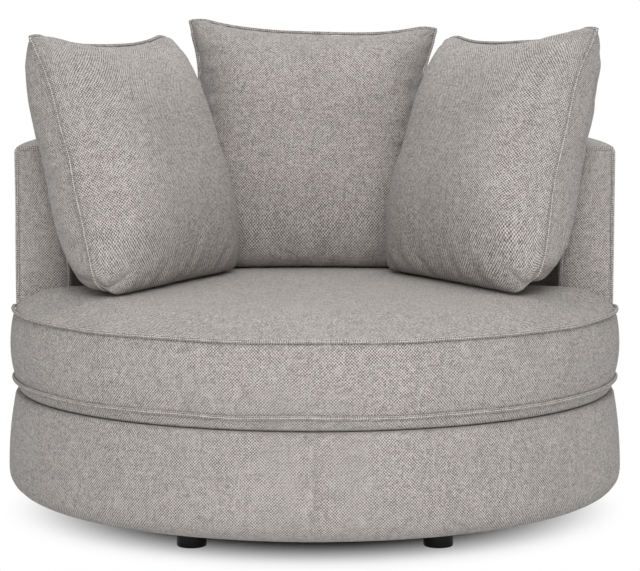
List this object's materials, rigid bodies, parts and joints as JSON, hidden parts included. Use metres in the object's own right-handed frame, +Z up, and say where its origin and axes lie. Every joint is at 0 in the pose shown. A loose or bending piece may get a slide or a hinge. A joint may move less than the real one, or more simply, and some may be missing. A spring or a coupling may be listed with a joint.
{
  "type": "accent chair",
  "caption": "Round upholstered lounge chair with a drum base on short feet, a half-round padded wall, a crowned T-shaped seat cushion and loose knife-edge back pillows.",
  "frame": {"origin": "on the floor under the centre of the drum base", "axes": "+Z up, the chair faces -Y, +X is to the right as seen from the front"},
  "size_m": [1.239, 1.239, 0.9994],
  "materials": {
    "upholstery": "heathered woven upholstery cloth",
    "piping": "self-covered piping cord",
    "plywood": "raw plywood",
    "fibreboard": "thin raw board",
    "foam": "upholstery foam",
    "pillow_fill": "fibre fill in a cotton case",
    "lining": "non-woven dust cloth",
    "foot_plastic": "gloss black",
    "steel": "zinc plated",
    "clip_plastic": "moulded",
    "zip_plastic": "moulded zip"
  },
  "bodies": {
    "frame": {"base_bottom_ring": "plywood", "base_top_ring": "plywood", "base_posts": "plywood", "base_wrap_board": "fibreboard", "base_foam": "foam", "base_cover": "upholstery", "dust_cover": "lining", "deck_pad": "foam", "deck_cover": "upholstery", "seat_springs": "steel", "spring_clips": "clip_plastic", "foot_rear_right": "foot_plastic", "foot_rear_left": "foot_plastic", "foot_side_left": "foot_plastic", "foot_front_left": "foot_plastic", "foot_front_right": "foot_plastic", "foot_side_right": "foot_plastic", "foot_bolts": "steel", "tee_nuts": "steel", "back_bottom_rail": "plywood", "back_uprights": "plywood", "back_top_rail": "plywood", "arm_posts": "plywood", "back_inner_board": "fibreboard", "back_outer_board": "fibreboard", "back_foam": "foam", "back_inner_cover": "upholstery", "back_outer_cover": "upholstery", "arm_panel_left": "upholstery", "arm_panel_right": "upholstery", "arm_welts": "piping", "frame_screws": "steel"},
    "seat_cushion": {"seat_foam_core": "foam", "seat_top_panel": "upholstery", "seat_bottom_panel": "upholstery", "seat_boxing": "upholstery", "seat_zip_boxing": "upholstery", "seat_upper_welt": "piping", "seat_lower_welt": "piping", "seat_zip_chain": "zip_plastic"},
    "seat_zip_slider": {"seat_zip_slider": "zip_plastic"},
    "pillow_left": {"pillow_left_insert": "pillow_fill", "pillow_left_front_panel": "upholstery", "pillow_left_back_panel": "upholstery", "pillow_left_welt": "piping", "pillow_left_zip_chain": "zip_plastic"},
    "pillow_left_zip_slider": {"pillow_left_zip_slider": "zip_plastic"},
    "pillow_centre": {"pillow_centre_insert": "pillow_fill", "pillow_centre_front_panel": "upholstery", "pillow_centre_back_panel": "upholstery", "pillow_centre_welt": "piping", "pillow_centre_zip_chain": "zip_plastic"},
    "pillow_centre_zip_slider": {"pillow_centre_zip_slider": "zip_plastic"},
    "pillow_right": {"pillow_right_insert": "pillow_fill", "pillow_right_front_panel": "upholstery", "pillow_right_back_panel": "upholstery", "pillow_right_welt": "piping", "pillow_right_zip_chain": "zip_plastic"},
    "pillow_right_zip_slider": {"pillow_right_zip_slider": "zip_plastic"}
  },
  "joints": [
    {"name": "seat_lift", "type": "slide", "parent": "frame", "child": "seat_cushion", "axis": [0, 0, 1], "range_m": [0, 0.55]},
    {"name": "seat_zip", "type": "hinge", "parent": "seat_cushion", "child": "seat_zip_slider", "pos_m": [0, 0, 0.3425], "axis": [0, 0, -1], "range_deg": [0, 97]},
    {"name": "pillow_left_lift", "type": "slide", "parent": "seat_cushion", "child": "pillow_left", "axis": [-0.2589, 0.1169, 0.9588], "range_m": [0, 0.6]},
    {"name": "pillow_left_zip", "type": "slide", "parent": "pillow_left", "child": "pillow_left_zip_slider", "axis": [-0.4217, -0.9067, -0.0033], "range_m": [0, 0.425]},
    {"name": "pillow_centre_lift", "type": "slide", "parent": "seat_cushion", "child": "pillow_centre", "axis": [0.0349, 0.1735, 0.9842], "range_m": [0, 0.6]},
    {"name": "pillow_centre_zip", "type": "slide", "parent": "pillow_centre", "child": "pillow_centre_zip_slider", "axis": [-0.9994, 0.0061, 0.0344], "range_m": [0, 0.425]},
    {"name": "pillow_right_lift", "type": "slide", "parent": "seat_cushion", "child": "pillow_right", "axis": [0.2376, 0.1582, 0.9584], "range_m": [0, 0.6]},
    {"name": "pillow_right_zip", "type": "slide", "parent": "pillow_right", "child": "pillow_right_zip_slider", "axis": [-0.4721, 0.8811, -0.0284], "range_m": [0, 0.425]}
  ]
}
